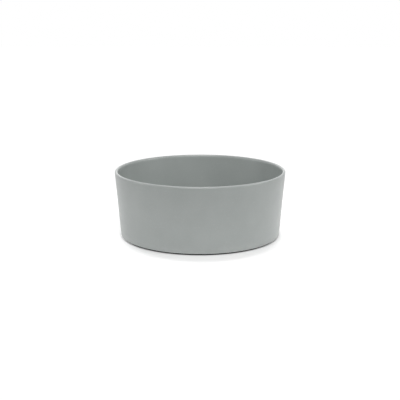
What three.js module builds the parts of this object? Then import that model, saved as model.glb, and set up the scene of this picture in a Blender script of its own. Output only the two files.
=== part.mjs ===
// A round melamine bowl: a one-piece moulded shell with straight, slightly flared sides,
// which stands on a rubber non-slip ring pressed into a groove in its base.
// Millimetres, +Z up. The origin is on the bowl's axis, in the plane of the surface that it stands on.

import * as THREE from "three";

// Outside of the shell
const HEIGHT = 77.5; // from the standing surface to the top of the rim
const RIM_DIAMETER = 200; // across the wall's outer face, carried up to the top of the rim
const BASE_DIAMETER = 188; // across the wall's outer face, carried down to the foot

// Walls of the shell
const RIM_THICKNESS = 3.8; // side wall at the rim
const HEEL_THICKNESS = 4.2; // side wall at the floor: the inside has more draft than the outside
const FLOOR_WEB = 2.2; // floor left above the ring's groove

// Rounded edges of the shell
const RIM_OUTER_DROP = 1.9; // how far below its crest the rim's rounding meets the outer face
const RIM_INNER_DROP = 3.6; // and the inner face, where it is softer to the lip and to a spoon
const FOOT_EDGE_RADIUS = 0.6; // between the side wall and the foot
const INSIDE_CORNER_RADIUS = 12; // between the side wall and the floor, wide enough to wipe clean

// Underside of the shell
const FOOT_LAND = 4.5; // flat foot between the outer face and the groove
const INNER_LAND = 3; // flat foot between the groove and the base panel
const PANEL_RECESS = 0.8; // lifts the base panel clear, so that a warped base can't rock the bowl
const GROOVE_WIDTH = 4;
const GROOVE_DEPTH = 2;

// Non-slip ring: a T in section, with its stem in the groove and its foot under the lands
const RING_STAND = 1.7; // how far the ring holds the shell off the surface
const RING_OVERHANG = 2; // foot past each side of the groove
const RING_EDGE_RADIUS = 0.4; // lower edges of the foot
const RING_FIT_GAP = 0.1; // between the stem and the groove; the foot seats flat on the lands
const STEM_RIB_HEIGHT = 0.4; // rib on each side of the stem, squeezed by the groove's wall
const STEM_RIB_WIDTH = 0.9;
const GRIP_GROOVES = 2; // grooves in the foot's underside, which leave one rib more than that
const GRIP_GROOVE_DEPTH = 0.4;

// Smoothness of the round surfaces
const FACETS_AROUND = 72;
const ARC_STEPS = 5;
const FILLET_SIDE_SHARE = 0.48; // most of a side that the fillet at either end of it may take

// Levels above the standing surface
const FOOT_LEVEL = RING_STAND;
const PANEL_LEVEL = FOOT_LEVEL + PANEL_RECESS;
const GROOVE_LEVEL = FOOT_LEVEL + GROOVE_DEPTH;
const FLOOR_LEVEL = GROOVE_LEVEL + FLOOR_WEB;

// Radii of the groove, which the ring takes its place from
const GROOVE_OUTER_RADIUS = BASE_DIAMETER / 2 - FOOT_LAND;
const GROOVE_INNER_RADIUS = GROOVE_OUTER_RADIUS - GROOVE_WIDTH;
const GROOVE_MIDDLE_RADIUS = (GROOVE_OUTER_RADIUS + GROOVE_INNER_RADIUS) / 2;

const MELAMINE = new THREE.MeshStandardMaterial({ color: "#9ea3a1", roughness: 0.45, metalness: 0 });
const RUBBER = new THREE.MeshStandardMaterial({ color: "#262828", roughness: 0.85, metalness: 0 });

// One corner of a half-section: its radius from the axis, its level, and the fillet that rounds it.
function corner(radius, level, fillet = 0) {
  return { at: new THREE.Vector2(radius, level), fillet };
}

// The arc that rounds a corner, tangent to the sides that lead to the corners before and after it.
function filletArc(before, { at, fillet }, after) {
  const back = before.at.clone().sub(at);
  const ahead = after.at.clone().sub(at);
  const shorterSide = Math.min(back.length(), ahead.length());
  back.normalize();
  ahead.normalize();
  const halfAngle = Math.acos(back.dot(ahead)) / 2;
  const reach = Math.min(fillet / Math.tan(halfAngle), FILLET_SIDE_SHARE * shorterSide);
  const radius = reach * Math.tan(halfAngle);
  const toCentre = back.clone().add(ahead).setLength(radius / Math.sin(halfAngle));
  const centre = at.clone().add(toCentre);
  const startAngle = at.clone().addScaledVector(back, reach).sub(centre).angle();
  const endAngle = at.clone().addScaledVector(ahead, reach).sub(centre).angle();
  const clockwise = back.cross(ahead) > 0;
  return new THREE.ArcCurve(centre.x, centre.y, radius, startAngle, endAngle, clockwise);
}

// The points of a half-section, with its filleted corners as arcs.
function sectionPoints(corners) {
  return corners.flatMap((here, i) => {
    if (here.fillet === 0) return [here.at];
    const before = corners.at(i - 1);
    const after = corners[(i + 1) % corners.length];
    return filletArc(before, here, after).getPoints(ARC_STEPS);
  });
}

// A half-section turned about the bowl's axis, which a lathe keeps along Y.
function turned(name, points, material) {
  const mesh = new THREE.Mesh(new THREE.LatheGeometry(points, FACETS_AROUND), material);
  mesh.name = name;
  mesh.rotation.x = Math.PI / 2;
  return mesh;
}

// Radius of the side wall's straight outer face at a level.
function outerFaceRadius(level) {
  return THREE.MathUtils.mapLinear(level, FOOT_LEVEL, HEIGHT, BASE_DIAMETER / 2, RIM_DIAMETER / 2);
}

// Half of the rim's rounding: a quarter of an ellipse, half the wall wide, with its top at the crest.
function rimQuarter(drop, startAngle) {
  const half = RIM_THICKNESS / 2;
  const crest = outerFaceRadius(HEIGHT - RIM_OUTER_DROP) - half;
  const endAngle = startAngle + Math.PI / 2;
  const quarter = new THREE.EllipseCurve(crest, HEIGHT - drop, half, drop, startAngle, endAngle);
  return quarter.getPoints(ARC_STEPS).map(({ x, y }) => corner(x, y));
}

// From the middle of the underside, out past the groove, up the outside, over the rim and down the inside.
function bowlShell() {
  const panelEdgeRadius = GROOVE_INNER_RADIUS - INNER_LAND;
  const heelRadius = outerFaceRadius(FLOOR_LEVEL) - HEEL_THICKNESS;
  const section = sectionPoints([
    corner(0, PANEL_LEVEL),
    corner(panelEdgeRadius - PANEL_RECESS, PANEL_LEVEL),
    corner(panelEdgeRadius, FOOT_LEVEL),
    corner(GROOVE_INNER_RADIUS, FOOT_LEVEL),
    corner(GROOVE_INNER_RADIUS, GROOVE_LEVEL),
    corner(GROOVE_OUTER_RADIUS, GROOVE_LEVEL),
    corner(GROOVE_OUTER_RADIUS, FOOT_LEVEL),
    corner(BASE_DIAMETER / 2, FOOT_LEVEL, FOOT_EDGE_RADIUS),
    ...rimQuarter(RIM_OUTER_DROP, 0).slice(0, -1), // up to the crest, where the other half starts
    ...rimQuarter(RIM_INNER_DROP, Math.PI / 2),
    corner(heelRadius, FLOOR_LEVEL, INSIDE_CORNER_RADIUS),
    corner(0, FLOOR_LEVEL),
  ]);
  return turned("bowl_shell", section, MELAMINE);
}

// The grooves across the underside of the ring's foot, from the inside out, as wide as the ribs between them.
function gripGrooveCorners(footInner, footOuter) {
  const band = (footOuter - footInner) / (2 * GRIP_GROOVES + 1);
  return Array.from({ length: GRIP_GROOVES }, (_, i) => {
    const inner = footInner + (2 * i + 1) * band;
    const outer = inner + band;
    return [
      corner(inner, 0),
      corner(inner, GRIP_GROOVE_DEPTH),
      corner(outer, GRIP_GROOVE_DEPTH),
      corner(outer, 0),
    ];
  }).flat();
}

// One side of the stem from the bottom up: its root, the rib that the groove squeezes, and its top edge.
// The side is 1 for the outer flank and -1 for the inner one.
function stemFlankCorners(side) {
  const ribTip = GROOVE_MIDDLE_RADIUS + side * (GROOVE_WIDTH / 2 - RING_FIT_GAP);
  const flank = ribTip - side * STEM_RIB_HEIGHT;
  const top = GROOVE_LEVEL - RING_FIT_GAP;
  const middle = (FOOT_LEVEL + top) / 2;
  return [
    corner(flank, FOOT_LEVEL),
    corner(flank, middle - STEM_RIB_WIDTH / 2),
    corner(ribTip, middle),
    corner(flank, middle + STEM_RIB_WIDTH / 2),
    corner(flank, top),
  ];
}

// Round the T from the foot's inner edge: under the foot, up the outer flank and down the inner one.
function nonSlipRing() {
  const footInner = GROOVE_INNER_RADIUS - RING_OVERHANG;
  const footOuter = GROOVE_OUTER_RADIUS + RING_OVERHANG;
  const section = sectionPoints([
    corner(footInner, FOOT_LEVEL),
    corner(footInner, 0, RING_EDGE_RADIUS),
    ...gripGrooveCorners(footInner, footOuter),
    corner(footOuter, 0, RING_EDGE_RADIUS),
    corner(footOuter, FOOT_LEVEL),
    ...stemFlankCorners(1),
    ...stemFlankCorners(-1).reverse(),
  ]);
  return turned("non_slip_ring", [...section, section[0]], RUBBER);
}

const bowl = new THREE.Group();
bowl.add(bowlShell(), nonSlipRing());

export default bowl;
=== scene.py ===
import math

import bmesh
import bpy
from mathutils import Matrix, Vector


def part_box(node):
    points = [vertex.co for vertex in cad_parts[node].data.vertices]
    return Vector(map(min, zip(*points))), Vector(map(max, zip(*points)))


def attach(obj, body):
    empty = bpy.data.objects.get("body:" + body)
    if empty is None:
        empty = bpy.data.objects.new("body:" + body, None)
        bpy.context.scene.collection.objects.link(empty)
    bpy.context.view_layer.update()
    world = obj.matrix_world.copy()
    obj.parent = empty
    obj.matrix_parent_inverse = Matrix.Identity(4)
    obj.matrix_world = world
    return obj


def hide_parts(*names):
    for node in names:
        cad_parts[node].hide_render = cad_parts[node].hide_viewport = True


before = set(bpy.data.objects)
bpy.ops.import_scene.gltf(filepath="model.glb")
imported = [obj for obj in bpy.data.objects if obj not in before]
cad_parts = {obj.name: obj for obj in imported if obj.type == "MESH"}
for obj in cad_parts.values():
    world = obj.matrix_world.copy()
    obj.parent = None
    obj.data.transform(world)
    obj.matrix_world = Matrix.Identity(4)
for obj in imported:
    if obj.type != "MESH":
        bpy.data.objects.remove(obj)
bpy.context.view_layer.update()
shell_low, shell_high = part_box("bowl_shell")
ring_low, ring_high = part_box("non_slip_ring")

MM = 0.001

# Levels and radii of the bowl, in metres. The first four levels come from the frame.
RIM_LEVEL = shell_high.z
FOOT_LEVEL = shell_low.z
TABLE_LEVEL = ring_low.z
STEM_TOP_LEVEL = ring_high.z
FLOOR_LEVEL = 5.9 * MM
RIM_RADIUS = 100 * MM  # the outer face carried up to the top of the rim
BASE_RADIUS = 94 * MM  # the outer face carried down to the foot
RIM_THICKNESS = 3.8 * MM
RIM_OUTER_DROP = 1.9 * MM  # how far below its crest the rim's rounding meets the outer face
RIM_INNER_DROP = 3.6 * MM  # and the inner face
HEEL_THICKNESS = 4.2 * MM  # side wall where it meets the floor
FOOT_EDGE_RADIUS = 0.6 * MM
INSIDE_CORNER_RADIUS = 12 * MM

# Underside of the shell
FOOT_LAND = 4.5 * MM  # flat foot outside the ring's groove
INNER_LAND = 3 * MM  # flat foot inside it
PANEL_RECESS = 0.8 * MM  # how far the base panel is raised
GROOVE_WIDTH = 4 * MM
GROOVE_DEPTH = 2 * MM
GROOVE_OUTER_RADIUS = BASE_RADIUS - FOOT_LAND
GROOVE_INNER_RADIUS = GROOVE_OUTER_RADIUS - GROOVE_WIDTH
MOULD_EDGE_RADIUS = 0.25 * MM  # the small edges of the underside, as the mould leaves them

# Non-slip ring
RING_OUTER_RADIUS = ring_high.x  # from the frame too
RING_INNER_RADIUS = GROOVE_INNER_RADIUS - (RING_OUTER_RADIUS - GROOVE_OUTER_RADIUS)
RING_EDGE_RADIUS = 0.4 * MM
STEM_GAP = 0.5 * MM  # between the stem's flank and the groove's wall
GRIP_GROOVES = 2
GRIP_GROOVE_DEPTH = 0.4 * MM
GRIP_EDGE_RADIUS = 0.15 * MM

# Fineness of the turned surfaces
FACETS_AROUND = 256
ARC_STEPS = 10
SHARP_EDGE = math.radians(35)
SAME_POINT = 0.001 * MM  # points closer than this are one, such as those on the axis

# Moulded melamine. The sizes of the patterns are in millimetres.
MELAMINE_IOR = 1.65
MELAMINE_GREY = "#9a9f9d"
CLOUD_GREY = "#a0a5a3"
FLECK_GREY = "#a9aeac"
# Paler grey near the foot: rubbing at its very edge, and painted light thrown back by the paper
# above it
RUBBED_AND_LIT_GREY = "#b4b8b6"
CLOUD_SIZE = 30
FLECK_SIZE = 1.5  # the real ones are about 0.3 mm; this is the least that the render can show
FLECK_EDGE, FLECK_MIDDLE = 0.58, 0.75  # how high in the noise a fleck starts and is full
FLECK_STRENGTH = 0.35
# The paler patches low down, outside and on the floor inside: painted bounce light, with rubbing at
# the foot
RUB_AND_LIGHT_SIZE = 4
RUB_AND_LIGHT_HEIGHT = 12 * MM  # above the foot, where the last of the painted bounce light and the rubbing ends
RUB_AND_LIGHT_STRENGTH = 0.6
SHEEN_SIZE = 9
SATIN_LEAST, SATIN_MOST = 0.31, 0.38  # roughness that the etched mould gives
POLISHED = 0.28  # roughness of the rim
POLISH_END = 2.5 * MM  # below the top of the rim, where the last of the polish ends
POLISH_FULL = 1 * MM  # and where it is full
GRAIN_SIZE = 0.9  # the mould's etched grain is about 0.2 mm; it is coarser here, so that it shows
GRAIN_DEPTH = 0.05 * MM
GRAIN_STRENGTH = 0.12

# Moulded rubber. The sizes of the patterns are in millimetres.
RUBBER_IOR = 1.52
RUBBER_BLACK = "#222424"
BLOOM_GREY = "#303332"
BLOOM_SIZE = 6
BLOOM_EDGE, BLOOM_MIDDLE = 0.45, 0.75  # how high in the noise the bloom starts and is full
BARE_ROUGHNESS, BLOOM_ROUGHNESS = 0.74, 0.88
TOOTH_SIZE = 0.6  # the tooth of the mould is about 0.2 mm; it is coarser here, so that it shows
TOOTH_DEPTH = 0.08 * MM
TOOTH_STRENGTH = 0.3

# Most of a noise texture lies between these
NOISE_LOW, NOISE_HIGH = 0.3, 0.7

# Places of a Mix node's sockets, which share their names among its kinds of data
MIX_SHARE = 0
NUMBER_A, NUMBER_B, MIXED_NUMBER = 2, 3, 0
COLOUR_A, COLOUR_B, MIXED_COLOUR = 6, 7, 2

# Camera: it looks along +Y and down at the bowl
CAMERA_DISTANCE = 1.02
CAMERA_ELEVATION = math.radians(13.18)
CAMERA_AIM = Vector((-0.1 * MM, 0, 40.4 * MM))
CAMERA_LENS_MM = 77.43
CAMERA_SENSOR_MM = 36

# Paper that the bowl stands on
PAPER_SIDE = 8  # metres
PAPER_WHITE = "#f2f2f2"
PAPER_SHADE = "#3c3c3c"  # for the light that it throws back from far off
BOUNCE_DEPTH = 165 * MM  # out to here, front and back, it throws light back as white paper does
BOUNCE_END_DEPTH = 320 * MM  # and from here on it throws back next to none
BOUNCE_WIDENING = 2  # to the sides it throws light back from this many times as far
SHADOW_MIDDLE = Vector((3 * MM, -24 * MM, 0))  # the bowl's soft shadow shows only in front of it,
SHADOW_HALF = Vector((101 * MM, 110 * MM, 1))  # in an oval of this half width and half depth
SHADOW_CORE = 0.76  # it is left as it falls in this share of the oval, and ends at the oval's edge
NEAR_GLOW = 0.35  # what the lit paper close by needs to look white
FAR_GLOW = 1.0  # and what the paper far off needs

# Light
SKY_WHITE = 1.0  # strength that the camera sees
CEILING_LIGHT = 0.77  # strength that lights the bowl from overhead
HORIZON_LIGHT = 0.3  # and from low down all round
HORIZON_TOP = 0.3  # sine of the elevation up to which the light is the horizon's
CEILING_EDGE = 0.85  # and of the one from which it is the ceiling's
SOFTBOXES = (  # name, place and side in metres, power in watts
    ("top_light", (0, -0.8, 1.1), 0.8, 7.3),
    ("right_light", (1.2, -0.3, 0.6), 0.8, 3.4),
    ("left_light", (-1.2, -0.2, 0.2), 0.4, 1.2),
    ("back_light", (-0.2, 1.1, 0.9), 1.4, 4.5),
)


def linear(hex_colour):
    """An sRGB hex colour as linear RGBA."""
    channels = [int(hex_colour[i:i + 2], 16) / 255 for i in (1, 3, 5)]
    return [c / 12.92 if c <= 0.04045 else ((c + 0.055) / 1.055) ** 2.4 for c in channels] + [1]


def per_metre(size_mm):
    """The texture scale that makes a pattern's features about this many millimetres wide."""
    return 1 / (size_mm * MM)


def add(tree, kind, sockets=None, **settings):
    """Add a shader node with its settings.

    Each socket, by name or place, takes a value or the output that feeds it.
    """
    made = tree.nodes.new("ShaderNode" + kind)
    for name, value in settings.items():
        setattr(made, name, value)
    for name, value in (sockets or {}).items():
        if isinstance(value, bpy.types.NodeSocket):
            tree.links.new(value, made.inputs[name])
        else:
            made.inputs[name].default_value = value
    return made


def new_material(name):
    """An empty node material."""
    material = bpy.data.materials.new(name)
    material.use_nodes = True
    material.node_tree.nodes.clear()
    return material


def moulded_melamine():
    """Melamine-formaldehyde filled with paper pulp, pressed in a satin-etched steel mould.

    The etched mould leaves a soft sheen with a faint grain, and the pulp leaves a slight cloudiness
    and fine flecks in the colour. The rim is polished after its flash is trimmed, so it is a little
    glossier. The lowest 12 mm above the foot, outside and on the floor inside, are painted paler
    in patches: rubbing by the table at the foot's edge, and above it painted bounce light from
    the paper.
    """
    material = new_material("moulded_melamine")
    tree = material.node_tree
    place = add(tree, "TexCoord").outputs["Object"]
    level = add(tree, "SeparateXYZ", {"Vector": place}).outputs["Z"]

    # Cloudiness where the charge of powder flowed in the mould
    clouds = add(tree, "TexNoise", {
        "Vector": place, "Scale": per_metre(CLOUD_SIZE), "Detail": 3,
    }).outputs["Fac"]
    cloudy = add(tree, "MapRange", {
        "Value": clouds, "From Min": NOISE_LOW, "From Max": NOISE_HIGH,
    }).outputs["Result"]
    cloud_colour = add(tree, "Mix", {
        MIX_SHARE: cloudy, COLOUR_A: linear(MELAMINE_GREY), COLOUR_B: linear(CLOUD_GREY),
    }, data_type="RGBA").outputs[MIXED_COLOUR]

    # Flecks of pulp
    flecks = add(tree, "TexNoise", {
        "Vector": place, "Scale": per_metre(FLECK_SIZE), "Detail": 1,
    }).outputs["Fac"]
    flecked = add(tree, "MapRange", {
        "Value": flecks, "From Min": FLECK_EDGE, "From Max": FLECK_MIDDLE, "To Max": FLECK_STRENGTH,
    }).outputs["Result"]
    fleck_colour = add(tree, "Mix", {
        MIX_SHARE: flecked, COLOUR_A: cloud_colour, COLOUR_B: linear(FLECK_GREY),
    }, data_type="RGBA").outputs[MIXED_COLOUR]

    # Painted bounce light from the paper, with rubbing at the foot's edge: paler in patches, most
    # at the foot and less further up, on the floor inside too
    low = add(tree, "MapRange", {
        "Value": level, "From Min": FOOT_LEVEL + RUB_AND_LIGHT_HEIGHT, "From Max": FOOT_LEVEL,
        "To Max": RUB_AND_LIGHT_STRENGTH,
    }, interpolation_type="SMOOTHSTEP").outputs["Result"]
    patches = add(tree, "TexNoise", {
        "Vector": place, "Scale": per_metre(RUB_AND_LIGHT_SIZE), "Detail": 4,
    }).outputs["Fac"]
    rubbed_and_lit = add(tree, "Math", {0: low, 1: patches}, operation="MULTIPLY").outputs["Value"]
    colour = add(tree, "Mix", {
        MIX_SHARE: rubbed_and_lit, COLOUR_A: fleck_colour, COLOUR_B: linear(RUBBED_AND_LIT_GREY),
    }, data_type="RGBA").outputs[MIXED_COLOUR]

    # Sheen: uneven in patches, and glossier on the polished rim
    sheen = add(tree, "TexNoise", {
        "Vector": place, "Scale": per_metre(SHEEN_SIZE), "Detail": 2,
    }).outputs["Fac"]
    satin = add(tree, "MapRange", {
        "Value": sheen, "From Min": NOISE_LOW, "From Max": NOISE_HIGH,
        "To Min": SATIN_LEAST, "To Max": SATIN_MOST,
    }).outputs["Result"]
    polish = add(tree, "MapRange", {
        "Value": level, "From Min": RIM_LEVEL - POLISH_END, "From Max": RIM_LEVEL - POLISH_FULL,
    }, interpolation_type="SMOOTHSTEP").outputs["Result"]
    roughness = add(tree, "Mix", {
        MIX_SHARE: polish, NUMBER_A: satin, NUMBER_B: POLISHED,
    }).outputs[MIXED_NUMBER]

    # The mould's etched grain
    grain = add(tree, "TexNoise", {
        "Vector": place, "Scale": per_metre(GRAIN_SIZE), "Detail": 2,
    }).outputs["Fac"]
    relief = add(tree, "Bump", {
        "Height": grain, "Strength": GRAIN_STRENGTH, "Distance": GRAIN_DEPTH,
    }).outputs["Normal"]

    surface = add(tree, "BsdfPrincipled", {
        "Base Color": colour, "Roughness": roughness, "Normal": relief, "IOR": MELAMINE_IOR,
    }).outputs["BSDF"]
    add(tree, "OutputMaterial", {"Surface": surface})
    return material


def moulded_rubber():
    """Black thermoplastic rubber, moulded and left as it comes out.

    It is dull and nearly black, with a faint grey bloom in patches and a fine tooth that grips.
    """
    material = new_material("moulded_rubber")
    tree = material.node_tree
    place = add(tree, "TexCoord").outputs["Object"]

    # Bloom in patches
    bloom = add(tree, "TexNoise", {
        "Vector": place, "Scale": per_metre(BLOOM_SIZE), "Detail": 4,
    }).outputs["Fac"]
    bloomed = add(tree, "MapRange", {
        "Value": bloom, "From Min": BLOOM_EDGE, "From Max": BLOOM_MIDDLE,
    }).outputs["Result"]
    colour = add(tree, "Mix", {
        MIX_SHARE: bloomed, COLOUR_A: linear(RUBBER_BLACK), COLOUR_B: linear(BLOOM_GREY),
    }, data_type="RGBA").outputs[MIXED_COLOUR]
    roughness = add(tree, "MapRange", {
        "Value": bloomed, "To Min": BARE_ROUGHNESS, "To Max": BLOOM_ROUGHNESS,
    }).outputs["Result"]

    # The tooth of the mould
    tooth = add(tree, "TexNoise", {
        "Vector": place, "Scale": per_metre(TOOTH_SIZE), "Detail": 1,
    }).outputs["Fac"]
    relief = add(tree, "Bump", {
        "Height": tooth, "Strength": TOOTH_STRENGTH, "Distance": TOOTH_DEPTH,
    }).outputs["Normal"]

    surface = add(tree, "BsdfPrincipled", {
        "Base Color": colour, "Roughness": roughness, "Normal": relief, "IOR": RUBBER_IOR,
    }).outputs["BSDF"]
    add(tree, "OutputMaterial", {"Surface": surface})
    return material


def corner(radius, level, fillet=0.0):
    """One corner of a half-section, and the fillet that rounds it."""
    return Vector((radius, level)), fillet


def fillet_arc(before, at, after, radius):
    """The points of the arc that rounds a corner, tangent to its two sides."""
    back = (before - at).normalized()
    ahead = (after - at).normalized()
    half_angle = back.angle(ahead) / 2
    reach = radius / math.tan(half_angle)
    centre = at + (back + ahead).normalized() * (radius / math.sin(half_angle))
    start = (at + back * reach - centre).normalized()
    end = (at + ahead * reach - centre).normalized()
    return [centre + start.slerp(end, step / ARC_STEPS) * radius for step in range(ARC_STEPS + 1)]


def section_points(corners):
    """The points of a half-section, with its filleted corners as arcs."""
    points = []
    for i, (at, fillet) in enumerate(corners):
        before = corners[i - 1][0]
        after = corners[(i + 1) % len(corners)][0]
        points += fillet_arc(before, at, after, fillet) if fillet else [at]
    return points


def turned(name, points, material, closed=False):
    """A half-section turned about the bowl's axis, smooth but for its sharp edges."""
    mesh = bpy.data.meshes.new(name)
    bm = bmesh.new()
    outline = [bm.verts.new((point.x, 0, point.y)) for point in points]
    following = outline[1:] + outline[:1] if closed else outline[1:]
    sides = [bm.edges.new(pair) for pair in zip(outline, following)]
    bmesh.ops.spin(
        bm, geom=outline + sides, axis=(0, 0, 1), cent=(0, 0, 0),
        angle=math.tau, steps=FACETS_AROUND, use_merge=True,
    )
    bmesh.ops.remove_doubles(bm, verts=bm.verts, dist=SAME_POINT)
    bmesh.ops.recalc_face_normals(bm, faces=bm.faces)
    for face in bm.faces:
        face.smooth = True
    bm.to_mesh(mesh)
    bm.free()
    mesh.set_sharp_from_angle(angle=SHARP_EDGE)
    mesh.materials.append(material)
    piece = bpy.data.objects.new(name, mesh)
    bpy.context.collection.objects.link(piece)
    return piece


def outer_face_radius(level):
    """Radius of the side wall's straight outer face at a level."""
    rise = (level - FOOT_LEVEL) / (RIM_LEVEL - FOOT_LEVEL)
    return BASE_RADIUS + (RIM_RADIUS - BASE_RADIUS) * rise


def rim_quarter(drop, start_angle):
    """Half of the rim's rounding: a quarter of an ellipse, half the wall wide, up to the crest."""
    half = RIM_THICKNESS / 2
    crest = outer_face_radius(RIM_LEVEL - RIM_OUTER_DROP) - half
    middle = RIM_LEVEL - drop
    angles = [start_angle + math.pi / 2 * step / ARC_STEPS for step in range(ARC_STEPS + 1)]
    return [corner(crest + half * math.cos(a), middle + drop * math.sin(a)) for a in angles]


def bowl_shell():
    """The moulded shell: out along the underside, up the outside, over the rim, down the inside."""
    panel_level = FOOT_LEVEL + PANEL_RECESS
    panel_edge = GROOVE_INNER_RADIUS - INNER_LAND
    groove_level = FOOT_LEVEL + GROOVE_DEPTH
    heel_radius = outer_face_radius(FLOOR_LEVEL) - HEEL_THICKNESS
    section = section_points([
        corner(0, panel_level),
        corner(panel_edge - PANEL_RECESS, panel_level, MOULD_EDGE_RADIUS),
        corner(panel_edge, FOOT_LEVEL, MOULD_EDGE_RADIUS),
        corner(GROOVE_INNER_RADIUS, FOOT_LEVEL, MOULD_EDGE_RADIUS),
        corner(GROOVE_INNER_RADIUS, groove_level, MOULD_EDGE_RADIUS),
        corner(GROOVE_OUTER_RADIUS, groove_level, MOULD_EDGE_RADIUS),
        corner(GROOVE_OUTER_RADIUS, FOOT_LEVEL, MOULD_EDGE_RADIUS),
        corner(BASE_RADIUS, FOOT_LEVEL, FOOT_EDGE_RADIUS),
        *rim_quarter(RIM_OUTER_DROP, 0)[:-1],  # up to the crest, where the other half starts
        *rim_quarter(RIM_INNER_DROP, math.pi / 2),
        corner(heel_radius, FLOOR_LEVEL, INSIDE_CORNER_RADIUS),
        corner(0, FLOOR_LEVEL),
    ])
    shell = turned("melamine_shell", section, moulded_melamine())
    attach(shell, "root")
    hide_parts("bowl_shell")


def grip_grooves():
    """The corners of the grooves under the ring's foot, as wide as the ribs between them."""
    band = (RING_OUTER_RADIUS - RING_INNER_RADIUS) / (2 * GRIP_GROOVES + 1)
    bottom = TABLE_LEVEL + GRIP_GROOVE_DEPTH
    corners = []
    for i in range(GRIP_GROOVES):
        inner = RING_INNER_RADIUS + (2 * i + 1) * band
        outer = inner + band
        corners += [
            corner(inner, TABLE_LEVEL, GRIP_EDGE_RADIUS),
            corner(inner, bottom, GRIP_EDGE_RADIUS),
            corner(outer, bottom, GRIP_EDGE_RADIUS),
            corner(outer, TABLE_LEVEL, GRIP_EDGE_RADIUS),
        ]
    return corners


def non_slip_ring():
    """The rubber ring: a T in section, its stem in the shell's groove and its foot on the table."""
    stem_outer = GROOVE_OUTER_RADIUS - STEM_GAP
    stem_inner = GROOVE_INNER_RADIUS + STEM_GAP
    section = section_points([
        corner(RING_INNER_RADIUS, FOOT_LEVEL),
        corner(RING_INNER_RADIUS, TABLE_LEVEL, RING_EDGE_RADIUS),
        *grip_grooves(),
        corner(RING_OUTER_RADIUS, TABLE_LEVEL, RING_EDGE_RADIUS),
        corner(RING_OUTER_RADIUS, FOOT_LEVEL),
        corner(stem_outer, FOOT_LEVEL),
        corner(stem_outer, STEM_TOP_LEVEL),
        corner(stem_inner, STEM_TOP_LEVEL),
        corner(stem_inner, FOOT_LEVEL),
    ])
    ring = turned("rubber_ring", section, moulded_rubber(), closed=True)
    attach(ring, "root")
    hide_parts("non_slip_ring")


def seen_directly(tree):
    """1 for what the camera sees, also in a reflection; 0 for light on its way to a surface."""
    path = add(tree, "LightPath").outputs
    mirrored = add(tree, "Math", {
        0: path["Is Glossy Ray"], 1: path["Is Transmission Ray"],
    }, operation="MAXIMUM").outputs["Value"]
    return add(tree, "Math", {
        0: path["Is Camera Ray"], 1: mirrored,
    }, operation="MAXIMUM").outputs["Value"]


def white_paper():
    """Matt white background paper, which throws light back at the bowl only from close by.

    Past the bowl's soft shadow, a glow that only the eye sees lifts it to white.
    """
    material = new_material("white_paper")
    tree = material.node_tree
    place = add(tree, "TexCoord").outputs["Object"]

    # What it throws back
    narrowed = add(tree, "VectorMath", {
        0: place, 1: (1 / BOUNCE_WIDENING, 1, 1),
    }, operation="MULTIPLY").outputs["Vector"]
    depth = add(tree, "VectorMath", {0: narrowed}, operation="LENGTH").outputs["Value"]
    far = add(tree, "MapRange", {
        "Value": depth, "From Min": BOUNCE_DEPTH, "From Max": BOUNCE_END_DEPTH,
    }, interpolation_type="SMOOTHSTEP").outputs["Result"]
    colour = add(tree, "Mix", {
        MIX_SHARE: far, COLOUR_A: linear(PAPER_WHITE), COLOUR_B: linear(PAPER_SHADE),
    }, data_type="RGBA").outputs[MIXED_COLOUR]
    paper = add(tree, "BsdfDiffuse", {"Color": colour}).outputs["BSDF"]

    # The glow that lifts it to white
    off_middle = add(tree, "VectorMath", {
        0: place, 1: SHADOW_MIDDLE,
    }, operation="SUBTRACT").outputs["Vector"]
    in_oval = add(tree, "VectorMath", {
        0: off_middle, 1: SHADOW_HALF,
    }, operation="DIVIDE").outputs["Vector"]
    from_shadow = add(tree, "VectorMath", {0: in_oval}, operation="LENGTH").outputs["Value"]
    full_lift = add(tree, "MapRange", {
        "Value": far, "To Min": NEAR_GLOW, "To Max": FAR_GLOW,
    }).outputs["Result"]
    lift = add(tree, "MapRange", {
        "Value": from_shadow, "From Min": SHADOW_CORE, "From Max": 1.0, "To Max": full_lift,
    }, interpolation_type="SMOOTHSTEP").outputs["Result"]
    seen_lift = add(tree, "Math", {
        0: seen_directly(tree), 1: lift,
    }, operation="MULTIPLY").outputs["Value"]
    glow = add(tree, "Emission", {"Strength": seen_lift}).outputs["Emission"]

    surface = add(tree, "AddShader", {0: paper, 1: glow}).outputs["Shader"]
    add(tree, "OutputMaterial", {"Surface": surface})
    return material


def studio_floor():
    """The flat sheet of paper that the bowl stands on."""
    mesh = bpy.data.meshes.new("studio_floor")
    half = PAPER_SIDE / 2
    corners = [(-half, -half), (half, -half), (half, half), (-half, half)]
    mesh.from_pydata([(x, y, TABLE_LEVEL) for x, y in corners], [], [(0, 1, 2, 3)])
    mesh.materials.append(white_paper())
    floor = bpy.data.objects.new("studio_floor", mesh)
    bpy.context.collection.objects.link(floor)


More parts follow.
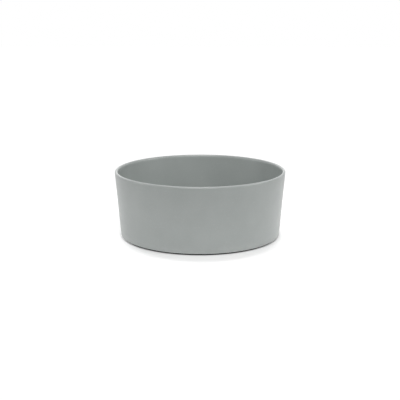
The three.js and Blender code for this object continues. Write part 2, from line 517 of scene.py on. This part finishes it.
def studio_sky():
    """A bright ceiling that dims towards the horizon, which the camera sees as plain white."""
    world = bpy.data.worlds.new("studio_sky")
    world.use_nodes = True
    tree = world.node_tree
    tree.nodes.clear()
    towards = add(tree, "TexCoord").outputs["Generated"]
    height = add(tree, "SeparateXYZ", {"Vector": towards}).outputs["Z"]
    light = add(tree, "MapRange", {
        "Value": height, "From Min": HORIZON_TOP, "From Max": CEILING_EDGE,
        "To Min": HORIZON_LIGHT, "To Max": CEILING_LIGHT,
    }, interpolation_type="SMOOTHSTEP").outputs["Result"]
    strength = add(tree, "Mix", {
        MIX_SHARE: seen_directly(tree), NUMBER_A: light, NUMBER_B: SKY_WHITE,
    }).outputs[MIXED_NUMBER]
    sky = add(tree, "Background", {
        "Color": linear("#ffffff"), "Strength": strength,
    }).outputs["Background"]
    add(tree, "OutputWorld", {"Surface": sky})
    bpy.context.scene.world = world


def softbox(name, place, side, power):
    """A square soft light that faces the bowl."""
    light = bpy.data.lights.new(name, "AREA")
    light.shape = "SQUARE"
    light.size = side
    light.energy = power
    lamp = bpy.data.objects.new(name, light)
    lamp.location = place
    lamp.rotation_euler = (CAMERA_AIM - Vector(place)).to_track_quat("-Z", "Y").to_euler()
    lamp.visible_camera = False
    bpy.context.collection.objects.link(lamp)


def photo_camera():
    """The camera at the photograph's angle."""
    camera = bpy.data.cameras.new("camera")
    camera.lens = CAMERA_LENS_MM
    camera.sensor_width = CAMERA_SENSOR_MM
    seen_from = bpy.data.objects.new("camera", camera)
    back = CAMERA_DISTANCE * math.cos(CAMERA_ELEVATION)
    up = CAMERA_DISTANCE * math.sin(CAMERA_ELEVATION)
    seen_from.location = CAMERA_AIM + Vector((0, -back, up))
    facing = (CAMERA_AIM - seen_from.location).to_track_quat("-Z", "Y")
    seen_from.rotation_euler = facing.to_euler()
    bpy.context.collection.objects.link(seen_from)
    bpy.context.scene.camera = seen_from


bowl_shell()
non_slip_ring()
studio_floor()
studio_sky()
for box in SOFTBOXES:
    softbox(*box)
photo_camera()
bpy.context.scene.view_settings.view_transform = "Standard"
